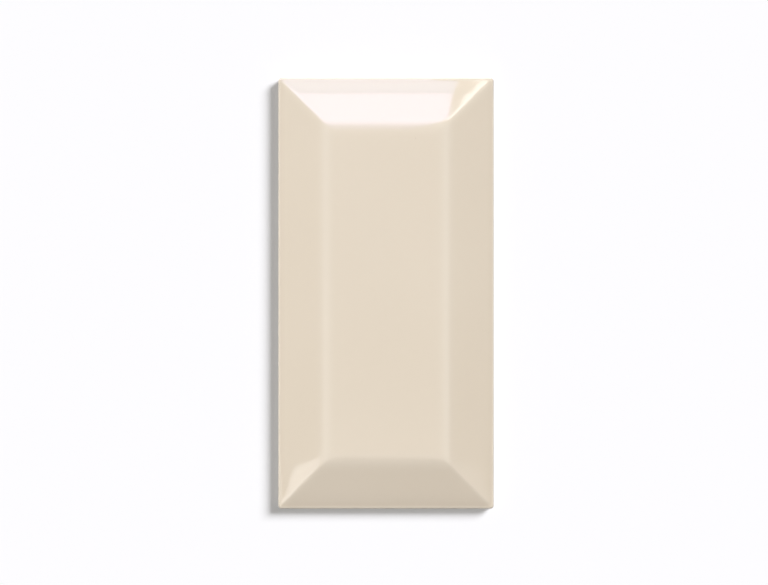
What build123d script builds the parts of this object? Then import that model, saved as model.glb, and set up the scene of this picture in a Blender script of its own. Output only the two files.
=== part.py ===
from build123d import *
import math
import os

# A bevelled glazed wall tile, pressed and fired as one piece.
# It lies on its back: the keyed bed is on the plane Z = 0 and the glazed face looks up.
# X is the short side, Y the long side, and the origin is the middle of the bed.
# All sizes are in millimetres and degrees.

# Outline, as it is seen on the wall
WIDTH = 100.0
LENGTH = 200.0
CORNER_RADIUS = 1.5

# Rim, the narrow low border that meets the joint
EDGE_HEIGHT = 4.8
EDGE_ROUNDING = 0.7
RIM_FLAT = 0.3

# Four bevels, which climb from the rim to the flat field
BEVEL_RUN = 20.8
BEVEL_RISE = 3.2
ARRIS_RADIUS = 40.0
HIP_RADIUS = 8.0

# Back, keyed for the adhesive by rows of shallow cells between ribs
BACK_CHAMFER = 0.6
KEY_BORDER = 4.0
KEY_RIB = 2.0
KEY_COLUMNS = 5
KEY_ROWS = 10
KEY_DEPTH = 0.8
KEY_DRAFT = 30.0
KEY_CORNER = 1.6

# How far the bevel planes are carried on outside the rim while their hips are rounded
BEVEL_OVERRUN = 3.0

# A climb or a run below this counts as none
LEVEL_LIMIT = 0.01


# Sizes that follow from those above

# The foot of the bevels has square corners. They just reach the flat of the rim
# where it crosses the diagonal, so the foot never hangs over the rounded outline.
flat_corner_radius = CORNER_RADIUS - EDGE_ROUNDING - RIM_FLAT
foot_inset = CORNER_RADIUS - flat_corner_radius * math.sqrt(0.5)
foot_width = WIDTH - 2 * foot_inset
foot_length = LENGTH - 2 * foot_inset

full_thickness = EDGE_HEIGHT + BEVEL_RISE
overrun_drop = BEVEL_OVERRUN * BEVEL_RISE / BEVEL_RUN

key_width = (WIDTH - 2 * KEY_BORDER - (KEY_COLUMNS - 1) * KEY_RIB) / KEY_COLUMNS
key_length = (LENGTH - 2 * KEY_BORDER - (KEY_ROWS - 1) * KEY_RIB) / KEY_ROWS


def is_hip(edge):
    """Tell a hip, which climbs as it crosses the tile, from level and upright edges."""
    span = (edge @ 1) - (edge @ 0)
    return abs(span.Z) > LEVEL_LIMIT and abs(span.X) > LEVEL_LIMIT


# Raised face: a block whose top is cut back to four mitred bevels round the field.
# The long arrises are rounded first, so that the hip roundings run out over them.
# What lies below the rim is then cut away, which leaves the foot crisp.
with BuildPart() as raised_face:
    with BuildSketch():
        Rectangle(foot_width + 2 * BEVEL_OVERRUN, foot_length + 2 * BEVEL_OVERRUN)
    extrude(amount=full_thickness)
    block_top = raised_face.faces().sort_by(Axis.Z)[-1]
    chamfer(
        block_top.edges(),
        length=BEVEL_RUN + BEVEL_OVERRUN,
        length2=BEVEL_RISE + overrun_drop,
        reference=block_top,
    )
    field = raised_face.faces().sort_by(Axis.Z)[-1]
    fillet(field.edges(), radius=ARRIS_RADIUS)
    fillet(raised_face.edges().filter_by(is_hip), radius=HIP_RADIUS)
    split(bisect_by=Plane.XY.offset(EDGE_HEIGHT), keep=Keep.TOP)

# The tile: a plate with a softened rim and an eased back edge, the raised face on it,
# and the key cells pressed into its back with sloping walls.
with BuildPart() as tile:
    with BuildSketch():
        RectangleRounded(WIDTH, LENGTH, CORNER_RADIUS)
    extrude(amount=EDGE_HEIGHT)
    rim = tile.faces().sort_by(Axis.Z)[-1]
    fillet(rim.edges(), radius=EDGE_ROUNDING)
    bed = tile.faces().sort_by(Axis.Z)[0]
    chamfer(bed.edges(), length=BACK_CHAMFER)
    add(raised_face.part)
    with BuildSketch():
        with GridLocations(key_width + KEY_RIB, key_length + KEY_RIB, KEY_COLUMNS, KEY_ROWS):
            RectangleRounded(key_width, key_length, KEY_CORNER)
    extrude(amount=KEY_DEPTH, taper=KEY_DRAFT, mode=Mode.SUBTRACT)

os.makedirs("parts", exist_ok=True)
tile.part.label = "tile"
export_step(tile.part, "parts/tile.step")
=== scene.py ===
# %% [markdown]
# # A bevelled wall tile
# The part is one glazed wall tile. It was pressed from clay powder in a steel die, glazed on
# its face and fired once, so it is a single piece: a flat field in the middle, four bevels
# that fall to a low rim, and a back with shallow cells that the adhesive grips.
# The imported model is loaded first. It is the fixed frame, and everything below is made in it,
# in metres, so the finished tile lands exactly where the solid one lies.

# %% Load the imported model
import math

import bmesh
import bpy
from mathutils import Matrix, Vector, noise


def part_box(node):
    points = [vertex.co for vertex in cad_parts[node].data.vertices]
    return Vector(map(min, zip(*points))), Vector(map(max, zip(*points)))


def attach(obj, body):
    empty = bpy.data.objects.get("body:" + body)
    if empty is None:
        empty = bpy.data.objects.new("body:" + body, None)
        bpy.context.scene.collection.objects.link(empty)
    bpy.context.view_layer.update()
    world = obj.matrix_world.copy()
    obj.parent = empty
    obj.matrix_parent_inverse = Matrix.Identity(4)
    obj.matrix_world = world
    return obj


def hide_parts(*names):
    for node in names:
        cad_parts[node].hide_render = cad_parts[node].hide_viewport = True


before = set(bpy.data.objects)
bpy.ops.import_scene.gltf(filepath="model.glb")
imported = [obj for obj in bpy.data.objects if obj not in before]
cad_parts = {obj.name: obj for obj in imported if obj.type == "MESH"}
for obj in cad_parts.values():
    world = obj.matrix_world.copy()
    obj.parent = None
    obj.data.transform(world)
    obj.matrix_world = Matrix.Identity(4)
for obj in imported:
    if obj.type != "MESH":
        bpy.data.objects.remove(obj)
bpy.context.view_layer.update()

# %% [markdown]
# ## The sizes
# The overall width, length and height are read from the frame, so they can't drift from it.
# The smaller sizes are the section of a pressed tile: how high the rim is, how far each bevel
# runs, and how round its edges are. They are written in millimetres, as on a drawing.

MM = 0.001
low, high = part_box("tile")
tile_width = high.x - low.x
tile_length = high.y - low.y
tile_height = high.z - low.z

rim_height = 4.8 * MM
corner_radius = 1.5 * MM
edge_rounding = 0.7 * MM
rim_flat = 0.3 * MM
bevel_run = 20.8 * MM
back_chamfer = 0.6 * MM
key_border = 4.0 * MM
key_rib = 2.0 * MM
key_columns = 5
key_rows = 10
key_depth = 0.8 * MM
key_wall_run = 0.46 * MM

bevel_rise = tile_height - rim_height
foot_inset = corner_radius - (corner_radius - edge_rounding - rim_flat) * math.sqrt(0.5)
print(f"tile {tile_width / MM:.1f} x {tile_length / MM:.1f} x {tile_height / MM:.1f} mm,",
      f"bevels rise {bevel_rise / MM:.1f} mm")

# %% [markdown]
# ## The slab
# A pressed tile starts as a plain slab with upright sides. A cube is added at the slab's size
# and place, and its scale is applied, so that later widths are true millimetres.
# Its four upright corners are rounded first, while they are simple three-way corners.
# The rounding along the top and the small chamfer along the back follow, each with the bevel
# operator, because the bevels there have different widths.
# An operator works on whatever is selected, so one small helper picks edges or faces by
# their place, and every step below begins with it.

# %% Press the slab
TINY = 0.001 * MM
corner_steps = 6
rounding_steps = 5
chamfer_steps = 2


def pick(piece, kind, test):
    """Select only those verts, edges or faces of the piece in edit mode that pass a test."""
    bpy.ops.mesh.select_mode(type={"verts": "VERT", "edges": "EDGE", "faces": "FACE"}[kind])
    bpy.ops.mesh.select_all(action="DESELECT")
    shape = bmesh.from_edit_mesh(piece.data)
    shape.normal_update()
    chosen = [item for item in getattr(shape, kind) if test(item)]
    for item in chosen:
        item.select_set(True)
    bmesh.update_edit_mesh(piece.data)
    return len(chosen)


def span(edge):
    """How far an edge reaches along each axis."""
    first, second = edge.verts
    return Vector(abs(c) for c in second.co - first.co)


bpy.ops.object.select_all(action="DESELECT")
bpy.ops.mesh.primitive_cube_add(
    size=1, location=(0, 0, rim_height / 2), scale=(tile_width, tile_length, rim_height))
tile = bpy.context.active_object
tile.name = "glazed_tile"
bpy.ops.object.transform_apply(location=True, rotation=True, scale=True)

bpy.ops.object.mode_set(mode="EDIT")
pick(tile, "edges", lambda e: span(e).z > TINY)
bpy.ops.mesh.bevel(offset=corner_radius, segments=corner_steps, affect="EDGES")
pick(tile, "edges", lambda e: all(v.co.z > rim_height - TINY for v in e.verts))
bpy.ops.mesh.bevel(offset=edge_rounding, segments=rounding_steps, affect="EDGES")
pick(tile, "edges", lambda e: all(v.co.z < TINY for v in e.verts))
bpy.ops.mesh.bevel(offset=back_chamfer, segments=chamfer_steps, affect="EDGES")
print(f"slab with {len(bmesh.from_edit_mesh(tile.data).faces)} faces")

# %% [markdown]
# ## The foot of the bevels
# The rim is a hair-thin flat between the rounded edge and the foot of the bevels. The foot is a
# true rectangle with square corners, because the bevels meet in mitres there.
# The top face is inset by the width of that flat. Its inset corners are still small arcs, so
# the points of each arc are merged at the 3D cursor, which stands on the exact corner.

# %% Inset the foot
LEVEL = 0.99


def is_middle(face, up):
    """Tell the large level face in the middle, which looks up (1) or down (-1)."""
    spot = face.calc_center_bounds()
    return face.normal.z * up > LEVEL and math.hypot(spot.x, spot.y) < corner_radius


def square_the_corners(piece, up, half_width, half_length, level):
    """Merge the arcs at the middle face's corners into the corners of a rectangle."""
    for side_x in (-1, 1):
        for side_y in (-1, 1):
            pick(piece, "verts", lambda v: v.co.x * side_x > 0 and v.co.y * side_y > 0
                 and any(is_middle(f, up) for f in v.link_faces))
            bpy.context.scene.cursor.location = (side_x * half_width, side_y * half_length, level)
            bpy.ops.mesh.merge(type="CURSOR")


pick(tile, "faces", lambda f: is_middle(f, 1))
bpy.ops.mesh.inset(thickness=foot_inset - edge_rounding)
foot_half_width = tile_width / 2 - foot_inset
foot_half_length = tile_length / 2 - foot_inset
square_the_corners(tile, 1, foot_half_width, foot_half_length, rim_height)
print(f"foot of {2 * foot_half_width / MM:.1f} x {2 * foot_half_length / MM:.1f} mm")

# %% [markdown]
# ## The bevels and the field
# On the real tile the glaze melts into one smooth skin, so a bevel isn't a flat plane between
# two hard edges. It is steeper where it rolls off to the rim, keeps one slope after that, and
# rolls over softly into the field. Gloss shows every change of slope, so this section is what
# makes the reflections right.
# The face is raised ring by ring: each step insets the middle face a little and lifts it by
# what the section rises there. Every ring keeps its square corners, so the four mitred hips
# appear by themselves, and they fade out where the slope does.

# %% Raise the face
ring_step = 0.6 * MM
foot_reach = 7.0 * MM
foot_slope = 1.35
arris_outside = 3.6 * MM
arris_inside = 5.4 * MM


def ease(t):
    """A smooth change from 0 to 1."""
    t = min(max(t, 0.0), 1.0)
    return t * t * (3 - 2 * t)


def slope_share(distance):
    """The slope this far in from the foot, as a share of the bevel's own."""
    above_rim = foot_slope + (1 - foot_slope) * ease(distance / foot_reach)
    rolling_over = ease((distance - bevel_run + arris_outside) / (arris_outside + arris_inside))
    return above_rim * (1 - rolling_over)


ring_count = math.ceil((bevel_run + arris_inside) / ring_step)
shares = [slope_share((ring + 0.5) * ring_step) for ring in range(ring_count)]
step_rise = bevel_rise / sum(shares)
pick(tile, "faces", lambda f: is_middle(f, 1))
for share in shares:
    bpy.ops.mesh.inset(thickness=ring_step, depth=step_rise * share)
print(f"{ring_count} rings, bevels at {math.degrees(math.atan(step_rise / ring_step)):.1f} degrees")

# %% [markdown]
# ## The hips
# Where two bevels meet, the die leaves a sharp line and the glaze softens it to about two
# millimetres. The four lines of ring corners are the only edges that cross the tile slantwise
# above the rim, so they are found by that, and the bevel operator rounds them all together.

# %% Round the hips
hip_width = 0.9 * MM
hip_steps = 4


def is_hip(edge):
    """A hip edge runs as far along X as along Y, above the rim."""
    reach = span(edge)
    above = all(v.co.z > rim_height - TINY for v in edge.verts)
    return above and reach.x > ring_step / 2 and abs(reach.x - reach.y) < TINY


hip_edges = pick(tile, "edges", is_hip)
bpy.ops.mesh.bevel(offset=hip_width, segments=hip_steps, affect="EDGES")
print(f"{hip_edges} hip edges rounded")

# %% [markdown]
# ## The keyed back
# The back is pressed with rows of shallow cells, so that adhesive has something to grip. A rib
# runs between the cells and a plain border round them.
# The back face is inset to the border and cut into a grid of cells: first its long edges are
# subdivided, which cuts it into strips, and then the cross edges of the strips. Each cell is
# then inset on its own, which leaves the ribs, and inset once more with depth, which sinks it
# with the sloping walls that let the clay leave the die.

# %% Press the keys
half_key_width = tile_width / 2 - key_border + key_rib / 2
half_key_length = tile_length / 2 - key_border + key_rib / 2
pick(tile, "faces", lambda f: is_middle(f, -1))
bpy.ops.mesh.inset(thickness=key_border - key_rib / 2 - back_chamfer)
square_the_corners(tile, -1, half_key_width, half_key_length, 0)


def on_back(edge, along_length):
    """Tell an edge that bounds or crosses the key field and runs along one direction."""
    flat = all(abs(v.co.z) < TINY and abs(v.co.x) < half_key_width + TINY
               and abs(v.co.y) < half_key_length + TINY for v in edge.verts)
    reach = span(edge)
    return flat and (reach.y > reach.x) == along_length


pick(tile, "edges", lambda e: on_back(e, True))
bpy.ops.mesh.subdivide(number_cuts=key_rows - 1)
pick(tile, "edges", lambda e: on_back(e, False))
bpy.ops.mesh.subdivide(number_cuts=key_columns - 1)


def is_cell(face):
    """Tell a cell of the key field by its place on the back."""
    return (face.normal.z < -LEVEL and len(face.verts) == 4
            and all(abs(v.co.x) < half_key_width + TINY and abs(v.co.y) < half_key_length + TINY
                    for v in face.verts))


cells = pick(tile, "faces", is_cell)
bpy.ops.mesh.inset(use_individual=True, thickness=key_rib / 2)
bpy.ops.mesh.inset(use_individual=True, thickness=key_wall_run, depth=-key_depth)
print(f"{cells} cells pressed {key_depth / MM} mm deep")

# %% [markdown]
# ## A finer mesh
# The glaze will end in an uneven line on the sides, and its thickness will vary over the face,
# and for that the mesh needs points all over. The long edges are subdivided, direction by
# direction. A ring's quads lie between two such edges, so each cut runs straight across them,
# and the field becomes a regular grid. The upright edges of the sides are cut last.

# %% Cut the long edges
cuts_along = 140
cuts_across = 62
cuts_up_the_side = 11
long_edge = 25 * MM
upright_edge = 2 * MM

pick(tile, "edges", lambda e: span(e).y > long_edge)
bpy.ops.mesh.subdivide(number_cuts=cuts_along)
pick(tile, "edges", lambda e: span(e).x > long_edge)
bpy.ops.mesh.subdivide(number_cuts=cuts_across)
pick(tile, "edges", lambda e: span(e).z > upright_edge)
bpy.ops.mesh.subdivide(number_cuts=cuts_up_the_side)

pick(tile, "faces", lambda f: True)
bpy.ops.mesh.normals_make_consistent(inside=False)
bpy.ops.object.mode_set(mode="OBJECT")
print(f"{len(tile.data.polygons)} faces, {len(tile.data.vertices)} points")

# %% [markdown]
# ## Where the glaze ends
# Glaze is poured on the face and runs a little way down the sides, where it stops in an uneven
# line with bare clay below it. The glaze has a thickness, so the bare clay stands back.
# Each point gets a value between 0, bare clay, and 1, glaze. It is kept twice: as a vertex
# group that tells the Displace modifier where to pull the sides in, and as a point attribute
# that the material reads, so that the shape and the finish change at the same line.

# %% Mark the glaze line and set the clay back
glaze_line = 2.6 * MM
glaze_wander = 0.9 * MM
glaze_fade = 0.3 * MM
glaze_thickness = 0.12 * MM
wander_length = 14 * MM
quick_length = wander_length / 4
slow_part = 0.7
bed_height = 0.3 * MM


def glaze_share(place):
    """1 where the point is glazed, 0 on bare clay."""
    slow = noise.noise(place * (1 / wander_length))
    quick = noise.noise(place * (1 / quick_length))
    line = glaze_line + glaze_wander * (slow_part * slow + (1 - slow_part) * quick)
    return ease((place.z - line) / glaze_fade + 0.5)


glaze_shares = [glaze_share(point.co) for point in tile.data.vertices]
glazed = tile.data.attributes.new("glazed", "FLOAT", "POINT")
glazed.data.foreach_set("value", glaze_shares)
clay_sides = tile.vertex_groups.new(name="clay_sides")
for point, share in zip(tile.data.vertices, glaze_shares):
    if point.co.z > bed_height and share < 1:
        clay_sides.add([point.index], 1 - share, "REPLACE")


bpy.context.view_layer.objects.active = tile
set_back = tile.modifiers.new("set_back", "DISPLACE")
set_back.direction = "NORMAL"
set_back.strength = -glaze_thickness
set_back.mid_level = 0
set_back.vertex_group = clay_sides.name
bpy.ops.object.modifier_apply(modifier=set_back.name)
print(f"{sum(share < 1 for share in glaze_shares)} points lie on or near bare clay")

# %% Smooth shading
sharp_angle = math.radians(30)

bpy.ops.object.select_all(action="DESELECT")
tile.select_set(True)
bpy.ops.object.shade_smooth_by_angle(angle=sharp_angle)


def open_edges(piece):
    """Count the edges that don't join exactly two faces."""
    shape = bmesh.new()
    shape.from_mesh(piece.data)
    count = sum(not e.is_manifold for e in shape.edges)
    shape.free()
    return count


print("open edges:", open_edges(tile))

# %% [markdown]
# ## How thick the glaze lies, and a painted highlight on the edges
# Molten glaze draws back from outward edges and gathers in hollows. Over the arrises, the hips
# and the rim the coat is thin and the pale clay shows through a little, and along the foot of
# the bevels it pools and looks deeper. The paleness over the arrises, the hips and the rim is
# partly this thin glaze and partly a painted highlight. The thickness is worked out for each
# point from its place on the section and is kept as a point attribute, because it follows the
# shape of the tile.

# %% Mark thin glaze, with a painted highlight on the edges, and pooled glaze
thin_reach = 2.6 * MM
hip_reach = 1.4 * MM
pool_reach = 1.5 * MM
arris_thin_and_highlight_share = 0.6
hip_thin_and_highlight_share = 0.5
pool_share = 0.5


def nearness(distance, reach):
    """1 at no distance, falling smoothly to 0."""
    return math.exp(-(distance / reach) ** 2)


def thin_glaze_and_highlight_share(place):
    """How thin the glaze lies, with a painted highlight on the edges: above 0 on outward edges, below
    0 where it pools.
    """
    from_side = foot_half_width - abs(place.x)
    from_end = foot_half_length - abs(place.y)
    inward = min(from_side, from_end)
    if inward < 0:
        return nearness(inward + foot_inset, edge_rounding)
    arris = nearness(inward - bevel_run, thin_reach)
    still_on_bevel = 1 - ease((inward - bevel_run) / thin_reach)
    hip = nearness(from_side - from_end, hip_reach) * still_on_bevel
    pool = nearness(inward, pool_reach)
    return max(arris_thin_and_highlight_share * arris, hip_thin_and_highlight_share * hip) - pool_share * pool


# Above 0 this is partly thin glaze and partly a painted highlight on the rim, the arrises and the
# hips.
thin_glaze_and_highlight_shares = [thin_glaze_and_highlight_share(point.co) for point in tile.data.vertices]
thin = tile.data.attributes.new("thin", "FLOAT", "POINT")
thin.data.foreach_set("value", thin_glaze_and_highlight_shares)
print(f"glaze from {min(thin_glaze_and_highlight_shares):.2f} (pooled) to {max(thin_glaze_and_highlight_shares):.2f} (thin)")

# %% [markdown]
# ## The finish
# One material holds both finishes, mixed by the glaze attribute, because they meet on one piece.
# The glaze is a cream colour under a glass-like gloss. Its colour varies slowly across the tile,
# it is paler where it lies thin, which is partly a painted highlight on the edges, and its skin
# has a faint orange peel and a few pinholes, darkened with painted shade in their pits.
# The clay below is matt, buff and sandy, with small darker grains. All of it is made from noise
# on Object coordinates, in metres, so a scale of 1000 is one feature to a millimetre. Noise
# stays near its middle, so the range it really uses is stretched to the range that is wanted.

# %% Helpers for node trees
PER_MM = 1000
MIX_SOCKETS = {"FLOAT": (2, 3, 0), "RGBA": (6, 7, 2)}


def feed(tree, socket, source):
    """Give a socket a number, a colour or the output of another node."""
    if isinstance(source, tuple):
        socket.default_value = (*source, 1)
    elif isinstance(source, (int, float)):
        socket.default_value = source
    else:
        tree.links.new(source, socket)


def combine(tree, operation, first, second=0.0):
    """Do sums with two values, or with one where the operation takes one."""
    node = tree.nodes.new("ShaderNodeMath")
    node.operation = operation
    feed(tree, node.inputs[0], first)
    feed(tree, node.inputs[1], second)
    return node.outputs[0]


def stretch(tree, value, before, after, smooth=False):
    """Stretch a value from the range before to the range after, held at its ends."""
    node = tree.nodes.new("ShaderNodeMapRange")
    node.interpolation_type = "SMOOTHSTEP" if smooth else "LINEAR"
    feed(tree, node.inputs["Value"], value)
    for socket, amount in zip(("From Min", "From Max", "To Min", "To Max"), (*before, *after)):
        feed(tree, node.inputs[socket], amount)
    return node.outputs["Result"]


def mix(tree, share, first, second, kind="FLOAT"):
    """Go from the first value or colour to the second as the share goes from 0 to 1."""
    node = tree.nodes.new("ShaderNodeMix")
    node.data_type = kind
    first_socket, second_socket, result = MIX_SOCKETS[kind]
    feed(tree, node.inputs["Factor"], share)
    feed(tree, node.inputs[first_socket], first)
    feed(tree, node.inputs[second_socket], second)
    return node.outputs[result]


# %% Start the material
glaze_ior = 1.52

finish = bpy.data.materials.new("cream_glaze_on_clay")
finish.use_nodes = True
coat = finish.node_tree
shader = coat.nodes["Principled BSDF"]
shader.inputs["IOR"].default_value = glaze_ior
position = coat.nodes.new("ShaderNodeTexCoord").outputs["Object"]


def attribute(name):
    """The value that the mesh carries at each point under this name."""
    node = coat.nodes.new("ShaderNodeAttribute")
    node.attribute_name = name
    return node.outputs["Fac"]


def noise_at(per_mm, detail, rough=0.5):
    """Soft noise with about this many features to a millimetre."""
    node = coat.nodes.new("ShaderNodeTexNoise")
    feed(coat, node.inputs["Vector"], position)
    feed(coat, node.inputs["Scale"], per_mm * PER_MM)
    feed(coat, node.inputs["Detail"], detail)
    feed(coat, node.inputs["Roughness"], rough)
    return node.outputs["Fac"]


def specks_at(per_mm, core, edge):
    """Scattered round specks: 1 in their core, 0 from their edge on."""
    node = coat.nodes.new("ShaderNodeTexVoronoi")
    feed(coat, node.inputs["Vector"], position)
    feed(coat, node.inputs["Scale"], per_mm * PER_MM)
    return stretch(coat, node.outputs["Distance"], (core, edge), (1.0, 0.0))


glazed_here = attribute("glazed")
# The thickness read here also carries the painted highlight on the rim, the arrises and the hips.
thin_glaze_and_highlight_here = attribute("thin")
print(f"{finish.name} reads the glaze line and the glaze's thickness from the mesh")

# %% The colour of the glaze
glaze_cream = (0.752, 0.664, 0.537)
glaze_deep = (0.715, 0.622, 0.492)
# The pale colour where the glaze lies thin is partly a painted highlight.
glaze_thin_and_highlight = (0.795, 0.718, 0.60)
# The dark colour in the pinholes is painted shade in their pits.
pinhole_painted_shade = (0.30, 0.24, 0.17)
cloud_per_mm = 0.012
cloud_strength = 0.35
pale_and_highlight_strength = 0.8
pinholes_per_mm = 0.09
pinhole_shade_strength = 0.6
noise_range = (0.3, 0.7)

clouds = stretch(coat, noise_at(cloud_per_mm, detail=1), noise_range, (0.0, cloud_strength))
clouded = mix(coat, clouds, glaze_cream, glaze_deep, "RGBA")
# Paler where the glaze is thin: partly thin glaze, partly a painted highlight on the edges.
thin_and_highlight_part = stretch(coat, thin_glaze_and_highlight_here, (0.0, 1.0), (0.0, pale_and_highlight_strength))
paler = mix(coat, thin_and_highlight_part, clouded, glaze_thin_and_highlight, "RGBA")
pooled_part = stretch(coat, thin_glaze_and_highlight_here, (-1.0, 0.0), (1.0, 0.0))
pooled = mix(coat, pooled_part, paler, glaze_deep, "RGBA")
# The pinholes are also real pits in the relief; their dark colour here is painted shade.
pinholes = specks_at(pinholes_per_mm, core=0.008, edge=0.016)
pinhole_shade_part = combine(coat, "MULTIPLY", pinholes, pinhole_shade_strength)
glaze_colour = mix(coat, pinhole_shade_part, pooled, pinhole_painted_shade, "RGBA")
print(f"clouds of about {1 / cloud_per_mm:.0f} mm, pinholes about {1 / pinholes_per_mm:.0f} mm apart")

# %% The colour of the clay
clay_buff = (0.66, 0.59, 0.49)
clay_pale = (0.76, 0.71, 0.63)
grain_brown = (0.42, 0.33, 0.24)
mottle_per_mm = 0.08
mottle_range = (0.35, 0.65)
grains_per_mm = 1.1
grain_strength = 0.45

mottle = stretch(coat, noise_at(mottle_per_mm, detail=4), mottle_range, (0.0, 1.0))
clay_tone = mix(coat, mottle, clay_buff, clay_pale, "RGBA")
grains = specks_at(grains_per_mm, core=0.10, edge=0.18)
grain_part = combine(coat, "MULTIPLY", grains, grain_strength)
clay_colour = mix(coat, grain_part, clay_tone, grain_brown, "RGBA")
base_colour = mix(coat, glazed_here, clay_colour, glaze_colour, "RGBA")
feed(coat, shader.inputs["Base Color"], base_colour)
print(f"mottle of about {1 / mottle_per_mm:.0f} mm, grains about {1 / grains_per_mm:.1f} mm apart")

# %% Gloss and relief
gloss_per_mm = 0.05
gloss_range = (0.015, 0.035)
clay_roughness = 0.85
peel_per_mm = 0.35
peel_height = 0.0006 * MM
pinhole_depth = 0.01 * MM
sand_per_mm = 2.2
sand_height = 0.05 * MM

glaze_roughness = stretch(coat, noise_at(gloss_per_mm, detail=3), noise_range, gloss_range)
feed(coat, shader.inputs["Roughness"], mix(coat, glazed_here, clay_roughness, glaze_roughness))

peel = combine(coat, "MULTIPLY", noise_at(peel_per_mm, detail=2), peel_height)
pits = combine(coat, "MULTIPLY", pinholes, -pinhole_depth)
sand = combine(coat, "MULTIPLY", noise_at(sand_per_mm, detail=5, rough=0.6), sand_height)
relief = mix(coat, glazed_here, sand, combine(coat, "ADD", peel, pits))
bump = coat.nodes.new("ShaderNodeBump")
bump.inputs["Distance"].default_value = 1.0
feed(coat, bump.inputs["Height"], relief)
feed(coat, shader.inputs["Normal"], bump.outputs["Normal"])
tile.data.materials.append(finish)
print(f"material of {len(coat.nodes)} nodes")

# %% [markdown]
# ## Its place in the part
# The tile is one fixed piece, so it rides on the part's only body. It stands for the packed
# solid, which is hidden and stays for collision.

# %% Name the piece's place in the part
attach(tile, "root")
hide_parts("tile")
print(f"{tile.name} stands for the packed solid")

# %% [markdown]
# ## The floor
# The tile lies on white paper. The paper is pale by itself, and for camera, mirror and glass
# rays it glows a little as well, so that it shows as white without more light on the tile.
# Where the tile keeps the paper's lamp away, only that glow and the room's light are left, and
# that is the soft shadow.

# %% White paper
paper_size = 6
paper_gap = 0.01 * MM
paper_white = (0.8, 0.8, 0.84)
paper_glow = 0.25
WHITE = (1, 1, 1)

bpy.ops.object.select_all(action="DESELECT")
bpy.ops.mesh.primitive_plane_add(size=paper_size, location=(0, 0, low.z - paper_gap))
paper = bpy.context.active_object
paper.name = "paper"
bpy.ops.object.transform_apply(location=True, rotation=True, scale=True)


def seen_directly(tree):
    """1 for camera, glossy and transmission rays, 0 for the light that falls on things."""
    ray = tree.nodes.new("ShaderNodeLightPath")
    mirrored = combine(tree, "MAXIMUM", ray.outputs["Is Camera Ray"], ray.outputs["Is Glossy Ray"])
    return combine(tree, "MAXIMUM", mirrored, ray.outputs["Is Transmission Ray"])


def matt_material(name, colour, glow_colour):
    """A material without gloss that can glow. It comes back with its node tree and shader."""
    material = bpy.data.materials.new(name)
    material.use_nodes = True
    surface = material.node_tree.nodes["Principled BSDF"]
    surface.inputs["Base Color"].default_value = (*colour, 1)
    surface.inputs["Roughness"].default_value = 1
    surface.inputs["Specular IOR Level"].default_value = 0
    surface.inputs["Emission Color"].default_value = (*glow_colour, 1)
    surface.inputs["Emission Strength"].default_value = 1
    return material, material.node_tree, surface


white_paper, paper_tree, paper_surface = matt_material("white_paper", paper_white, WHITE)
glow = combine(paper_tree, "MULTIPLY", seen_directly(paper_tree), paper_glow)
feed(paper_tree, paper_surface.inputs["Emission Strength"], glow)
paper.data.materials.append(white_paper)
print(f"paper {paper_size} m wide, {paper_gap / MM} mm below the tile")

# %% [markdown]
# ## The camera
# The tile is seen straight from above, through a long lens. The camera's height follows from
# the scale of the picture, and its small offset puts the tile where it is in the frame.

# %% Camera
photo_width_px = 768
photo_height_px = 585
px_per_mm = 2.155
tile_centre_px = (386.0, 293.4)
lens_mm = 100
sensor_mm = 36

camera_data = bpy.data.cameras.new("camera")
camera_data.lens = lens_mm
camera_data.sensor_width = sensor_mm
camera = bpy.data.objects.new("camera", camera_data)
bpy.context.scene.collection.objects.link(camera)
camera.location = (
    (photo_width_px / 2 - tile_centre_px[0]) / px_per_mm * MM,
    (tile_centre_px[1] - photo_height_px / 2) / px_per_mm * MM,
    rim_height + photo_width_px / px_per_mm * MM * lens_mm / sensor_mm,
)
bpy.context.scene.camera = camera
print(f"camera {camera.location.z:.3f} m above the floor")

# %% [markdown]
# ## The room
# Warm, soft light fills the room a little from all round. What is seen directly or mirrored is
# the studio itself: white walls up to a fair height, and a dimmer ceiling between the lamps,
# which is a little brighter towards the softbox. The world's Z and Y directions tell walls
# from ceiling, and the lamps' end of the room from the other.

# %% Room light
room_fill = 0.18
fill_colour = (1, 0.95, 0.82)
wall_white = 1.0
ceiling_dim = 0.45
ceiling_bright = 1.2
wall_top = 0.55
ceiling_start = 0.85
dim_until = -0.1
bright_from = 0.2

world = bpy.data.worlds.new("studio")
bpy.context.scene.world = world
world.use_nodes = True
room = world.node_tree
background = room.nodes["Background"]
axes = room.nodes.new("ShaderNodeSeparateXYZ")
feed(room, axes.inputs["Vector"], room.nodes.new("ShaderNodeTexCoord").outputs["Generated"])
ceiling = stretch(room, axes.outputs["Y"], (dim_until, bright_from), (ceiling_dim, ceiling_bright))
walls = stretch(room, axes.outputs["Z"], (wall_top, ceiling_start), (wall_white, ceiling))
direct = seen_directly(room)
feed(room, background.inputs["Strength"], mix(room, direct, room_fill, walls))
feed(room, background.inputs["Color"], mix(room, direct, fill_colour, WHITE, "RGBA"))
print(f"the room lights at {room_fill} and shows at up to {ceiling_bright}")

# %% [markdown]
# ## The lamps
# Daylight from a large low window beyond the head of the tile gives most of the light. Gloss
# shows a lamp's own shape, so the soft lamps are glowing cards, each where the tile mirrors it:
# a softbox in the top bevel, a dimmer strip beyond it, two small panels along the upper right
# hip, a fainter one along each lower hip, and a wide cloth in the field and along the arrises.
# A card can have a slanting side and can glow unevenly, where its mirror image in the tile does.
# The cards are placed by the law of reflection: the eye looks down at a bevel of about eight
# degrees, so it sees what hangs about sixteen degrees off.

# %% Helpers for glowing cards


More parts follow.
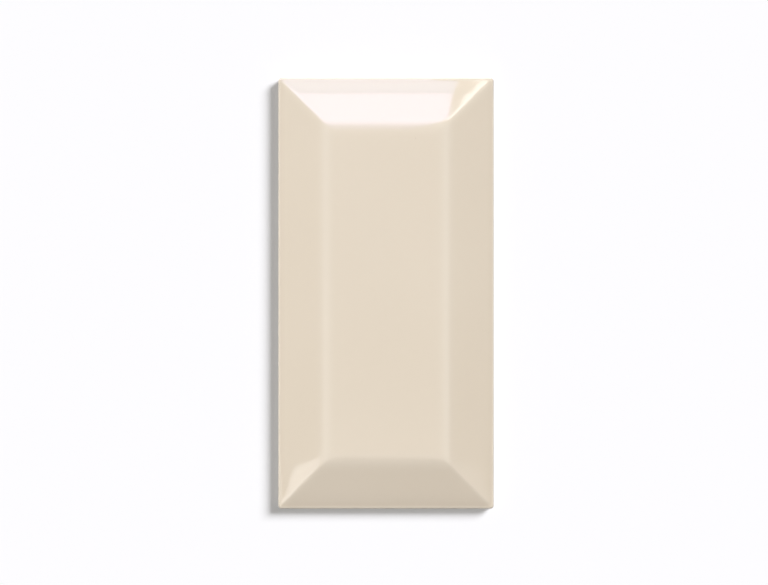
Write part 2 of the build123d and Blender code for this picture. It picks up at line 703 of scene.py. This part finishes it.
def glow_card(name, middle, size, colour, lean=0.0, turn=0.0):
    """A level card that glows. Its right side leans outwards by this much towards its far end."""
    bpy.ops.object.select_all(action="DESELECT")
    bpy.ops.mesh.primitive_plane_add(size=1, location=middle)
    card = bpy.context.active_object
    card.name = name
    card.scale = (*size, 1)
    bpy.ops.object.transform_apply(location=False, rotation=False, scale=True)
    if lean:
        bpy.ops.object.mode_set(mode="EDIT")
        pick(card, "verts", lambda v: v.co.x > 0 and v.co.y > 0)
        bpy.ops.transform.translate(value=(lean, 0, 0))
        bpy.ops.object.mode_set(mode="OBJECT")
    card.rotation_euler.z = math.radians(turn)
    card.visible_camera = False
    card.visible_shadow = False
    cloth, _, _ = matt_material(name + "_cloth", (0, 0, 0), colour)
    card.data.materials.append(cloth)
    return card


def card_tree(card):
    """The card's node tree, and the place on the card from its middle as X, Y and Z."""
    tree = card.data.materials[0].node_tree
    axes_on_card = tree.nodes.new("ShaderNodeSeparateXYZ")
    where = tree.nodes.new("ShaderNodeTexCoord").outputs["Object"]
    feed(tree, axes_on_card.inputs["Vector"], where)
    return tree, axes_on_card.outputs


def glow_by(tree, distance, reach, strengths):
    """Let a card's glow change smoothly over a range of distances on it."""
    surface = tree.nodes["Principled BSDF"]
    level = stretch(tree, distance, reach, strengths, smooth=True)
    feed(tree, surface.inputs["Emission Strength"], level)


# %% The softbox and the strip beyond it
softbox_height = 2.0
softbox_near = 0.40
softbox_far = 0.875
strip_far = 1.40
softbox_left = -0.40
softbox_right = 0.035
side_lean = 0.137
strip_lean = 0.04
fade_start = 0.06
fade_length = 0.36
near_share = 0.28
softbox_colour = (5.2, 5.1, 7.7)
strip_colour = (2.3, 3.1, 5.2)

softbox_length = softbox_far - softbox_near
softbox = glow_card(
    "north_softbox",
    middle=((softbox_left + softbox_right) / 2, (softbox_near + softbox_far) / 2, softbox_height),
    size=(softbox_right - softbox_left, softbox_length),
    colour=softbox_colour,
    lean=side_lean * softbox_length,
)
softbox_tree, on_softbox = card_tree(softbox)
fade_from = fade_start - softbox_length / 2
glow_by(softbox_tree, on_softbox["Y"], (fade_from, fade_from + fade_length), (near_share, 1.0))

strip_right = softbox_right + side_lean * softbox_length
strip_length = strip_far - softbox_far
strip = glow_card(
    "far_strip",
    middle=((softbox_left + strip_right) / 2, (softbox_far + strip_far) / 2, softbox_height),
    size=(strip_right - softbox_left, strip_length),
    colour=strip_colour,
    lean=strip_lean * strip_length,
)
print(f"softbox of {softbox_right - softbox_left:.2f} x {softbox_length:.2f} m")

# %% [markdown]
# ## The small panels
# The streak beside the upper right hip is the mirror image of a panel's left side in the top
# bevel. That bevel grows steeper towards the rim, which would bend the image of one straight
# side, so two panels hang with their left sides in a bent line, and the streak comes out
# straight. The two fainter panels show as pale wedges at the lower corners.

# %% Hang the small panels
panel_height = 1.0
streak_white = (7, 7, 7)
corner_white = (3.4, 3.4, 3.4)
faint_white = (1.2, 1.2, 1.2)

panels = [
    glow_card("streak_panel", middle=(0.1042, 0.447, panel_height), size=(0.075, 0.076),
              colour=streak_white, turn=-23.6),
    glow_card("streak_panel_far", middle=(0.1265, 0.557, panel_height), size=(0.075, 0.13),
              colour=streak_white, turn=-4.5),
    glow_card("corner_panel", middle=(-0.42, -0.274, panel_height), size=(0.25, 0.17),
              colour=corner_white, turn=20),
    glow_card("faint_panel", middle=(0.42, -0.268, panel_height), size=(0.25, 0.17),
              colour=faint_white, turn=-16),
]
print(f"{len(panels)} panels at {panel_height} m")

# %% The cloth over the camera
cloth_height = 1.5
cloth_middle = 1.25
cloth_rim = 1.75
cloth_half_width = 0.42
cloth_near = -0.33
cloth_far = 0.32
cloth_reach = 0.36

overhead = glow_card(
    "overhead_cloth",
    middle=(0, (cloth_near + cloth_far) / 2, cloth_height),
    size=(2 * cloth_half_width, cloth_far - cloth_near),
    colour=WHITE,
)
cloth_tree, on_cloth = card_tree(overhead)
sideways = combine(cloth_tree, "ABSOLUTE", on_cloth["X"])
lengthways = combine(cloth_tree, "ABSOLUTE", on_cloth["Y"])
outwards = combine(cloth_tree, "MAXIMUM", sideways, lengthways)
glow_by(cloth_tree, outwards, (0.0, cloth_reach), (cloth_middle, cloth_rim))
print(f"cloth of {2 * cloth_half_width:.2f} x {cloth_far - cloth_near:.2f} m")

# %% [markdown]
# ## Two far lamps
# Daylight shines on the tile alone, and glossy rays don't see it, so that it can be large and
# low and still show in no mirror image. The paper has a lamp of its own, because the shadow
# falls to the left and below, and the light on the bevels comes from straight beyond the head.
# Light linking says which object a lamp lights, and can also say which objects shade it.

# %% Daylight, and the lamp of the paper


def far_lamp(name, azimuth, elevation, spread, strength, colour=WHITE):
    """A lamp so far away that it shines evenly, from this compass side and height."""
    data = bpy.data.lights.new(name, "SUN")
    data.angle = math.radians(spread)
    data.energy = strength
    data.color = colour
    lamp = bpy.data.objects.new(name, data)
    bpy.context.scene.collection.objects.link(lamp)
    around = math.radians(azimuth)
    up = math.radians(elevation)
    level = math.cos(up)
    towards = Vector((math.sin(around) * level, math.cos(around) * level, math.sin(up)))
    lamp.rotation_euler = (-towards).to_track_quat("-Z", "Y").to_euler()
    return lamp


def shine_only_on(lamp, thing):
    """Let a lamp light one object alone, while all objects still shade it."""
    lit = bpy.data.collections.new("lit_by_" + lamp.name)
    lit.objects.link(thing)
    lamp.light_linking.receiver_collection = lit


daylight = far_lamp("low_daylight", azimuth=-9, elevation=29, spread=50, strength=3.93,
                    colour=(1, 0.975, 0.935))
daylight.visible_glossy = False
paper_lamp = far_lamp("paper_lamp", azimuth=55, elevation=33.5, spread=26, strength=4.35)
shine_only_on(paper_lamp, paper)
tile_lamps = (softbox, strip, *panels, overhead, daylight)
for lamp in tile_lamps:
    shine_only_on(lamp, tile)
print(f"{len(tile_lamps)} lamps for the tile and one for the paper")

# %% [markdown]
# ## The flag
# The side of the tile that faces the window would be nearly twice as bright as its face. As in
# a studio, a strip of black card stands close before that side, a little lower than the rim, and
# keeps the daylight off it. It is seen by no camera and no mirror, so it only shades, and the
# paper's lamp is shaded by the tile alone, so that the card leaves no shadow on the paper.

# %% Stand the flag
flag_gap = 1.5 * MM
flag_height = 4.6 * MM

bpy.ops.object.select_all(action="DESELECT")
bpy.ops.mesh.primitive_plane_add(
    size=1, location=(0, high.y + flag_gap, flag_height / 2), rotation=(math.pi / 2, 0, 0))
flag = bpy.context.active_object
flag.name = "flag"
flag.scale = (tile_width + 2 * flag_gap, flag_height, 1)
flag.visible_camera = False
flag.visible_glossy = False
flag.visible_diffuse = False
flag.visible_transmission = False
black_card, _, _ = matt_material("black_card", (0, 0, 0), (0, 0, 0))
flag.data.materials.append(black_card)

shades = bpy.data.collections.new("shades_paper_lamp")
shades.objects.link(tile)
paper_lamp.light_linking.blocker_collection = shades
print(f"flag {flag_height / MM:.1f} mm high, {flag_gap / MM:.1f} mm before the tile")

# %% [markdown]
# ## The colours
# The colours are shown as they are, without a film look.

# %% Show the colours as they are
bpy.context.scene.view_settings.view_transform = "Standard"
